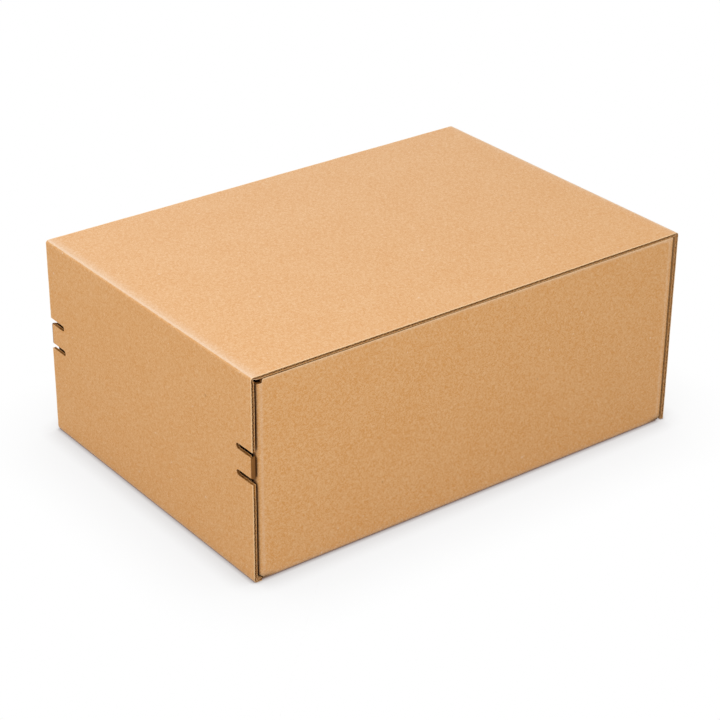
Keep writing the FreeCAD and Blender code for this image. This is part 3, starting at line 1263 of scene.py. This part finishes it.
class PaperGroups:
    """Shared shader groups: laid fibres, mottling and specks. Scales are turns per metre."""

    FIBRES = {"Length": 520.0, "Width": 2300.0, "Shift": 0.0}
    MOTTLING = {"Grain": 2300.0, "Clouds": 40.0}
    SPECKS = {"Scale": 120.0, "Size": 0.07, "Share": 0.12}
    FIBRE_TURNS = (0.35, 1.4, 2.45)
    FIBRE_CURL_SCALE = 420.0
    FIBRE_CURL = (1.5, 4.0)
    FIBRE_SHIFT = (37.0, 11.0)
    FIBRE_RISE: Flat = (0.58, 0.70)
    GRAIN_DETAIL = (1.0, 0.6)
    CLOUD_DETAIL = (3.0, 0.55)
    GRAIN_SHARE = 0.74
    CLOUD_SHARE = 0.26
    SPECK_LEAST = 0.4

    def __init__(self) -> None:
        """Build each group once."""
        self.fibres = self._fibres()
        self.mottling = self._mottling()
        self.specks = self._specks()

    @staticmethod
    def _group(name: str, floats: dict[str, float]) -> tuple[ShaderTools, bpy.types.Node, bpy.types.Node]:
        """New group with a Vector input, float inputs and a Value output.

        Args:
            name: Name of the group.
            floats: Float inputs with their defaults.

        Returns:
            Tools that work on the group, its input node and its output node.
        """
        tree = bpy.data.node_groups.new(name, "ShaderNodeTree")
        tree.interface.new_socket("Vector", in_out="INPUT", socket_type="NodeSocketVector")
        for label, value in floats.items():
            socket = tree.interface.new_socket(label, in_out="INPUT", socket_type="NodeSocketFloat")
            socket.default_value = value
        tree.interface.new_socket("Value", in_out="OUTPUT", socket_type="NodeSocketFloat")
        tools = ShaderTools(tree)
        return tools, tools.node("NodeGroupInput"), tools.node("NodeGroupOutput")

    def _fibres(self) -> bpy.types.NodeTree:
        """Curled hair-like fibres that lie in three directions, as a mask."""
        tools, inputs, output = self._group("Paper fibres", self.FIBRES)
        stretch = tools.node("ShaderNodeCombineXYZ")
        tools.feed(stretch.inputs["X"], inputs.outputs["Length"])
        tools.feed(stretch.inputs["Y"], inputs.outputs["Width"])
        bend = tools.noise(inputs.outputs["Vector"], self.FIBRE_CURL_SCALE)
        total = None
        for turn in self.FIBRE_TURNS:
            twist = tools.node("ShaderNodeVectorRotate", rotation_type="Z_AXIS")
            tools.feed(twist.inputs["Vector"], inputs.outputs["Vector"])
            tools.feed(twist.inputs["Angle"], turn)
            scaled = tools.node("ShaderNodeVectorMath", operation="MULTIPLY")
            tools.feed(scaled.inputs[0], twist.outputs[0])
            tools.feed(scaled.inputs[1], stretch.outputs[0])
            offset = tools.node("ShaderNodeCombineXYZ")
            for axis, curl, shift in zip("XY", self.FIBRE_CURL, self.FIBRE_SHIFT):
                tools.feed(offset.inputs[axis], tools.math("MULTIPLY_ADD", bend, curl, turn * shift))
            tools.feed(offset.inputs["Z"], inputs.outputs["Shift"])
            moved = tools.node("ShaderNodeVectorMath", operation="ADD")
            tools.feed(moved.inputs[0], scaled.outputs[0])
            tools.feed(moved.inputs[1], offset.outputs[0])
            cell = tools.noise(moved.outputs[0], 1.0, 0.0)
            layer = tools.span(cell, self.FIBRE_RISE)
            total = layer if total is None else tools.math("MAXIMUM", total, layer)
        tools.feed(output.inputs["Value"], total)
        return tools.tree

    def _mottling(self) -> bpy.types.NodeTree:
        """Fine grain and soft clouds of pulp, as a value round zero."""
        tools, inputs, output = self._group("Pulp mottling", self.MOTTLING)
        grain = tools.noise(inputs.outputs["Vector"], 1.0, *self.GRAIN_DETAIL)
        tools.feed(grain.node.inputs["Scale"], inputs.outputs["Grain"])
        clouds = tools.noise(inputs.outputs["Vector"], 1.0, *self.CLOUD_DETAIL)
        tools.feed(clouds.node.inputs["Scale"], inputs.outputs["Clouds"])
        soft = tools.math("MULTIPLY", clouds, self.CLOUD_SHARE)
        both = tools.math("ADD", tools.math("MULTIPLY", grain, self.GRAIN_SHARE), soft)
        tools.feed(output.inputs["Value"], tools.math("SUBTRACT", both, 0.5))
        return tools.tree

    def _specks(self) -> bpy.types.NodeTree:
        """Scattered small specks, as a mask."""
        tools, inputs, output = self._group("Paper specks", self.SPECKS)
        cells = tools.node("ShaderNodeTexVoronoi", feature="F1")
        tools.feed(cells.inputs["Vector"], inputs.outputs["Vector"])
        tools.feed(cells.inputs["Scale"], inputs.outputs["Scale"])
        tint = tools.node("ShaderNodeSeparateColor")
        tools.feed(tint.inputs[0], cells.outputs["Color"])
        spread = tools.math("ADD", tint.outputs[1], self.SPECK_LEAST)
        size = tools.math("MULTIPLY", inputs.outputs["Size"], spread)
        dot = tools.math("LESS_THAN", cells.outputs["Distance"], size)
        kept = tools.math("LESS_THAN", tint.outputs[0], inputs.outputs["Share"])
        tools.feed(output.inputs["Value"], tools.math("MULTIPLY", dot, kept))
        return tools.tree


@dataclass(frozen=True)
class KraftFacing:
    """Brown kraft paper of the facings, with painted highlight on folds and cut edges and painted shade in
    gaps and tab recesses.
    """

    name: str = "Kraft facing"
    pale: Colour = (0.724, 0.436, 0.212, 1.0)
    deep: Colour = (0.634, 0.305, 0.091, 1.0)
    speck: Colour = (0.330, 0.150, 0.050, 1.0)
    # Pale of the rubbed folds, which also paints their highlight; the light specks use it too
    pale_rub_highlight: Colour = (0.830, 0.750, 0.640, 1.0)
    # Dark raw core of the turned-in tabs, which also paints the shade of their recess
    raw: Colour = (0.195, 0.074, 0.010, 1.0)
    # Near black, painted shade in gaps
    gap: Colour = (0.035, 0.010, 0.001, 1.0)
    # Pale cut edge of the outer facing, which also paints the highlight that the edge catches
    lip: Colour = (0.860, 0.600, 0.340, 1.0)
    # Share of pale paper, and how far grain and fibres move it
    base_tone: float = 0.47
    grain: float = 1.8
    fibre: float = 0.66
    dark_fibre_length: float = 680.0
    dark_fibre_width: float = 2500.0
    dark_fibre_shift: float = 9.3
    # Specks
    dark_speck_share: float = 0.30
    light_speck_share: float = 0.28
    light_speck_scale: float = 210.0
    light_speck_size: float = 0.10
    light_speck_count: float = 0.10
    # Rubbed folds, broken up by the mottling, and the cut edge, both pale with wear and with painted
    # highlight
    rub_highlight_share: float = 0.46
    patch_range: Flat = (-0.1, 0.1)
    patch_share: Flat = (0.75, 1.0)
    lip_highlight_share: float = 0.80
    # Painted shade in gaps: its reach in metres, and the shares of hidden sky between which it rises
    gap_reach: float = 0.005
    gap_range: Flat = (0.02, 0.50)
    open_shade: float = 0.12
    # Surface
    roughness: float = 0.6
    refraction: float = 1.38
    bump: float = 0.015
    bump_height: float = 0.0002

    def make(self, groups: PaperGroups) -> bpy.types.Material:
        """Build the material.

        Args:
            groups: Shared shader groups.

        Returns:
            The new material.
        """
        material = bpy.data.materials.new(self.name)
        material.use_nodes = True
        material.node_tree.nodes.clear()
        tools = ShaderTools(material.node_tree)
        sheet = tools.node("ShaderNodeUVMap", uv_map="flat_sheet").outputs[0]
        mottle = tools.group(groups.mottling, Vector=sheet).outputs[0]
        tone = self._tone(tools, groups, sheet, mottle)
        colour = tools.mix(tone, self.deep, self.pale)
        colour = self._specked(tools, groups, sheet, colour)
        colour = self._rubbed_and_highlit(tools, mottle, colour)
        colour = self._shaded(tools, colour)
        relief = tools.node("ShaderNodeBump")
        relief.inputs["Strength"].default_value = self.bump
        relief.inputs["Distance"].default_value = self.bump_height
        tools.feed(relief.inputs["Height"], tone)
        surface = tools.node("ShaderNodeBsdfPrincipled")
        tools.feed(surface.inputs["Base Color"], colour)
        surface.inputs["Roughness"].default_value = self.roughness
        surface.inputs["IOR"].default_value = self.refraction
        tools.feed(surface.inputs["Normal"], relief.outputs[0])
        output = tools.node("ShaderNodeOutputMaterial")
        tools.feed(output.inputs["Surface"], surface.outputs[0])
        return material

    def _tone(self, tools: ShaderTools, groups: PaperGroups, sheet: Socket, mottle: Socket) -> Socket:
        """Share of pale paper, from grain, clouds, pale fibres and dark fibres."""
        pale_fibres = tools.group(groups.fibres, Vector=sheet).outputs[0]
        dark_fibres = tools.group(
            groups.fibres,
            Vector=sheet,
            Length=self.dark_fibre_length,
            Width=self.dark_fibre_width,
            Shift=self.dark_fibre_shift,
        ).outputs[0]
        tone = tools.math("MULTIPLY_ADD", mottle, self.grain, self.base_tone)
        tone = tools.math("MULTIPLY_ADD", pale_fibres, self.fibre, tone)
        return tools.math("MULTIPLY_ADD", dark_fibres, -self.fibre, tone)

    def _specked(self, tools: ShaderTools, groups: PaperGroups, sheet: Socket, colour: Socket) -> Socket:
        """Colour with its dark and light specks."""
        dark = tools.group(groups.specks, Vector=sheet).outputs[0]
        light = tools.group(
            groups.specks,
            Vector=sheet,
            Scale=self.light_speck_scale,
            Size=self.light_speck_size,
            Share=self.light_speck_count,
        ).outputs[0]
        colour = tools.mix(tools.math("MULTIPLY", dark, self.dark_speck_share), colour, self.speck)
        return tools.mix(tools.math("MULTIPLY", light, self.light_speck_share), colour, self.pale_rub_highlight)

    def _rubbed_and_highlit(self, tools: ShaderTools, mottle: Socket, colour: Socket) -> Socket:
        """Colour with its rubbed folds and the lip of its cut edges, both also painted highlight, and the
        dark raw core, which also paints the shade of the tabs' recess.
        """
        fold = tools.attribute("fold_rub_and_highlight")
        patchy = tools.math("MULTIPLY", fold, tools.span(mottle, self.patch_range, self.patch_share))
        colour = tools.mix(tools.math("MULTIPLY", patchy, self.rub_highlight_share), colour, self.pale_rub_highlight)
        colour = tools.mix(tools.math("MULTIPLY", tools.attribute("rim"), self.lip_highlight_share), colour, self.lip)
        return tools.mix(tools.attribute("raw_core_and_tab_shade"), colour, self.raw)

    def _shaded(self, tools: ShaderTools, colour: Socket) -> Socket:
        """Colour with painted shade: it turns dark where the sheet lies in a gap."""
        near_wall = tools.attribute("gap_shade")
        strength = tools.math("MULTIPLY_ADD", near_wall, 1 - self.open_shade, self.open_shade)
        hollow = tools.math("MULTIPLY", tools.hollow(self.gap_reach, *self.gap_range), strength)
        return tools.mix(hollow, colour, self.gap)


@dataclass(frozen=True)
class RawPaper:
    """Darker paper that shows at the cut edges: the flutes and the crushed core, with painted shade in
    their hollows.
    """

    name: str = "Raw paper"
    body: Colour = (0.50, 0.260, 0.095, 1.0)
    deep: Colour = (0.34, 0.155, 0.045, 1.0)
    # Near black, painted shade where the flutes' hollows hide the sky
    gap: Colour = (0.035, 0.010, 0.001, 1.0)
    roughness: float = 0.9
    streak_length: float = 900.0
    streak_width: float = 2600.0
    gap_reach: float = 0.003
    gap_range: Flat = (0.3, 1.0)
    gap_share: float = 0.25

    def make(self, groups: PaperGroups) -> bpy.types.Material:
        """Build the material.

        Args:
            groups: Shared shader groups.

        Returns:
            The new material.
        """
        material = bpy.data.materials.new(self.name)
        material.use_nodes = True
        material.node_tree.nodes.clear()
        tools = ShaderTools(material.node_tree)
        sheet = tools.node("ShaderNodeUVMap", uv_map="flat_sheet").outputs[0]
        long, wide = self.streak_length, self.streak_width
        streaks = tools.group(groups.fibres, Vector=sheet, Length=long, Width=wide)
        colour = tools.mix(streaks.outputs[0], self.body, self.deep)
        # Painted shade in the hollows of the flutes
        hollow = tools.math("MULTIPLY", tools.hollow(self.gap_reach, *self.gap_range), self.gap_share)
        colour = tools.mix(hollow, colour, self.gap)
        surface = tools.node("ShaderNodeBsdfPrincipled")
        tools.feed(surface.inputs["Base Color"], colour)
        surface.inputs["Roughness"].default_value = self.roughness
        surface.inputs["Specular IOR Level"].default_value = 0.0
        output = tools.node("ShaderNodeOutputMaterial")
        tools.feed(output.inputs["Surface"], surface.outputs[0])
        return material


class CardboardBox:
    """The whole folded sheet and its pieces."""

    CRUSHED = RawPaper("Crushed core", body=(0.34, 0.150, 0.040, 1.0), deep=(0.18, 0.070, 0.014, 1.0))
    FACING_SEEDS = {Ply.OUTER: 11, Ply.INNER: 23}
    FLAP_CORE_SEED = 47
    FLAP_CORE_STEP = 2.5

    def __init__(self, sizes: BoxSizes, groups: PaperGroups) -> None:
        """Lay out the sheet and mix its finishes."""
        self.sizes = sizes
        self.sleeve = Sleeve(sizes)
        offset = self.sleeve.bottom_start + sizes.length / 2 - sizes.tight_fold
        self.tray = Tray(sizes, offset)
        self.kraft = KraftFacing().make(groups)
        self.raw = RawPaper().make(groups)
        self.crushed = self.CRUSHED.make(groups)

    def build(self) -> list[bpy.types.Object]:
        """Make every piece of the box."""
        depths = self.sizes.plies()
        pieces = [self._facing(ply, depths[ply], seed) for ply, seed in self.FACING_SEEDS.items()]
        pieces += [self._flutes(), self._tab_core(depths[Ply.CORE]), self._flap_core(depths[Ply.CORE])]
        return pieces

    def _facing(self, ply: Ply, depths: Flat, seed: int) -> bpy.types.Object:
        """One facing of the whole sheet, sleeve and tray in one piece.

        Args:
            ply: Outer or inner facing.
            depths: Depths of its two faces below the outer face of the board.
            seed: Seed of its ragged edges.

        Returns:
            The finished piece.
        """
        parts, sleeve, tray = MeshParts(), self.sleeve, self.tray
        sheet = sleeve.facing(ply, seed)
        parts.add_plate(sheet, depths, sleeve.place, lambda p: p, sleeve.rub_and_highlight, raw=sleeve.tab_core_and_shade)
        sheet = tray.layer(ply, seed + 1)
        parts.add_plate(sheet, depths, tray.place, tray.to_flat, tray.rub_and_highlight, gap=tray.gap_share)
        piece = parts.finished(ply.value)
        piece.data.materials.append(self.kraft)
        return piece

    def _flutes(self) -> bpy.types.Object:
        """Fluted paper of the top and the end panels."""
        medium = FlutedMedium(self.sizes)
        parts = MeshParts()
        depth = self.sizes.width - 2 * self.sizes.flute_recess
        for start, stop in self.sleeve.flute_runs():
            mesh = medium.ribbon(start, stop, depth, self.raw)
            parts.add_mesh(mesh, self.sleeve.place, 0.0, self.sizes.board / 2)
            bpy.data.meshes.remove(mesh)
        piece = parts.finished("fluted_medium")
        piece.data.materials.append(self.raw)
        return piece

    def _tab_core(self, depths: Flat) -> bpy.types.Object:
        """Pressed board round the slots and in the tabs."""
        parts = MeshParts()
        parts.add_plate(self.sleeve.core_band(), depths, self.sleeve.place, lambda p: p, lambda p: 0.0)
        piece = parts.finished("tab_core")
        piece.data.materials.append(self.crushed)
        return piece

    def _flap_core(self, depths: Flat) -> bpy.types.Object:
        """Core of the bottom, the long faces and the flaps."""
        parts = MeshParts()
        layer = self.tray.layer(Ply.CORE, self.FLAP_CORE_SEED, step=self.FLAP_CORE_STEP)
        parts.add_plate(layer, depths, self.tray.place, self.tray.to_flat, lambda p: 0.0)
        piece = parts.finished("flap_core")
        piece.data.materials.append(self.crushed)
        return piece


@dataclass(frozen=True)
class Softbox:
    """One wide soft lamp, with its place and size in metres and its energy in watts."""

    name: str
    place: tuple[float, float, float]
    size: float
    energy: float

    def build(self) -> None:
        """Hang the lamp so that it faces the box."""
        data = bpy.data.lights.new(self.name, "AREA")
        data.shape = "SQUARE"
        data.size = self.size
        data.energy = self.energy
        lamp = bpy.data.objects.new(self.name, data)
        lamp.visible_camera = False
        place = Vector(self.place)
        lamp.matrix_world = Matrix.Translation(place) @ place.to_track_quat("Z", "Y").to_matrix().to_4x4()
        bpy.context.scene.collection.objects.link(lamp)


@dataclass(frozen=True)
class Studio:
    """Pale floor with a painted shadow, soft light and the camera. Each painted shade has its reach in
    metres and its strength.
    """

    sky: float = 0.65
    softboxes: tuple[Softbox, ...] = (
        Softbox("back_softbox", (0.62, 1.7, 1.0), 1.8, 21.0),
        Softbox("left_softbox", (-0.62, 0.08, 0.44), 0.5, 1.72),
        Softbox("front_softbox", (-0.14, -0.66, 0.42), 0.5, 2.05),
    )
    shade_tint: Colour = (0.10, 0.02, 0.0, 1.0)
    wide_shade: Flat = (0.050, 0.22)
    close_shade: Flat = (0.012, 0.38)
    contact_shade: Flat = (0.0022, 0.48)
    floor_colour: Colour = (0.55, 0.51, 0.46, 1.0)
    floor_reach: float = 6.0
    azimuth: float = math.radians(-37.2744)
    elevation: float = math.radians(27.8584)
    roll: float = math.radians(0.4177)
    distance: float = 1.05152
    slide: float = -0.001619
    lift: float = -0.013744
    aim_height: float = 0.0515
    lens: float = 107.298
    sensor: float = 36.0
    clip: Flat = (0.05, 50.0)

    def build(self) -> None:
        """Set up floor, lights, world and camera."""
        self._floor()
        self._world()
        for softbox in self.softboxes:
            softbox.build()
        self._camera()

    def _floor(self) -> None:
        """Large pale floor. The camera sees it as white emission with a painted shadow of the box close by,
        drawn from how much sky each point has hidden.
        """
        reach = self.floor_reach
        mesh = bpy.data.meshes.new("studio_floor")
        corners = [(-reach, -reach, 0.0), (reach, -reach, 0.0), (reach, reach, 0.0), (-reach, reach, 0.0)]
        mesh.from_pydata(corners, [], [(0, 1, 2, 3)])
        floor = bpy.data.objects.new("studio_floor", mesh)
        bpy.context.scene.collection.objects.link(floor)
        material = bpy.data.materials.new("Pale floor")
        material.use_nodes = True
        material.node_tree.nodes.clear()
        tools = ShaderTools(material.node_tree)
        matt = tools.node("ShaderNodeBsdfDiffuse")
        matt.inputs["Color"].default_value = self.floor_colour
        # Painted shadow: hidden sky at three reaches darkens the white emission that the camera sees
        shade = 0.0
        for distance, share in (self.wide_shade, self.close_shade, self.contact_shade):
            near = tools.hollow(distance, 0.0, 1.0, "LINEAR")
            shade = tools.math("MULTIPLY_ADD", near, share, shade)
        glow = tools.node("ShaderNodeEmission")
        tools.feed(glow.inputs["Color"], tools.mix(shade, WHITE, self.shade_tint))
        choice = tools.node("ShaderNodeMixShader")
        tools.feed(choice.inputs[0], tools.node("ShaderNodeLightPath").outputs["Is Camera Ray"])
        tools.feed(choice.inputs[1], matt.outputs[0])
        tools.feed(choice.inputs[2], glow.outputs[0])
        output = tools.node("ShaderNodeOutputMaterial")
        tools.feed(output.inputs["Surface"], choice.outputs[0])
        mesh.materials.append(material)

    def _world(self) -> None:
        """Even white surround, plain white to the camera."""
        world = bpy.data.worlds.new("Studio surround")
        bpy.context.scene.world = world
        world.use_nodes = True
        world.node_tree.nodes.clear()
        tools = ShaderTools(world.node_tree)
        light = tools.node("ShaderNodeBackground")
        light.inputs["Color"].default_value = WHITE
        seen = tools.node("ShaderNodeLightPath").outputs["Is Camera Ray"]
        tools.feed(light.inputs["Strength"], tools.span(seen, (0.0, 1.0), (self.sky, 1.0)))
        output = tools.node("ShaderNodeOutputWorld")
        tools.feed(output.inputs["Surface"], light.outputs[0])

    def _camera(self) -> None:
        """Camera at the picture's own angle."""
        around, above, roll = self.azimuth, self.elevation, self.roll
        flat = math.cos(above)
        back = Vector((math.sin(around) * flat, -math.cos(around) * flat, math.sin(above)))
        level = Vector((math.cos(around), math.sin(around), 0.0))
        up = back.cross(level)
        right = level * math.cos(roll) + up * math.sin(roll)
        upward = up * math.cos(roll) - level * math.sin(roll)
        place = Vector((0.0, 0.0, self.aim_height)) + back * self.distance
        place += right * self.slide + upward * self.lift
        data = bpy.data.cameras.new("studio_camera")
        data.sensor_width = self.sensor
        data.lens = self.lens
        data.clip_start, data.clip_end = self.clip
        camera = bpy.data.objects.new("studio_camera", data)
        turn = Matrix((right, upward, back)).transposed().to_4x4()
        camera.matrix_world = Matrix.Translation(place) @ turn
        bpy.context.scene.collection.objects.link(camera)
        bpy.context.scene.camera = camera


def main() -> None:
    """Build the box and its studio."""
    logging.basicConfig(level=logging.INFO, format="%(message)s")
    bpy.context.scene.view_settings.view_transform = "Standard"
    box = CardboardBox(BoxSizes(), PaperGroups())
    for piece in box.build():
        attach(piece, "root")
        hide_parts("closed_box")
        LOG.info("%s: %d faces", piece.name, len(piece.data.polygons))
    Studio().build()


if __name__ == "__main__":
    main()
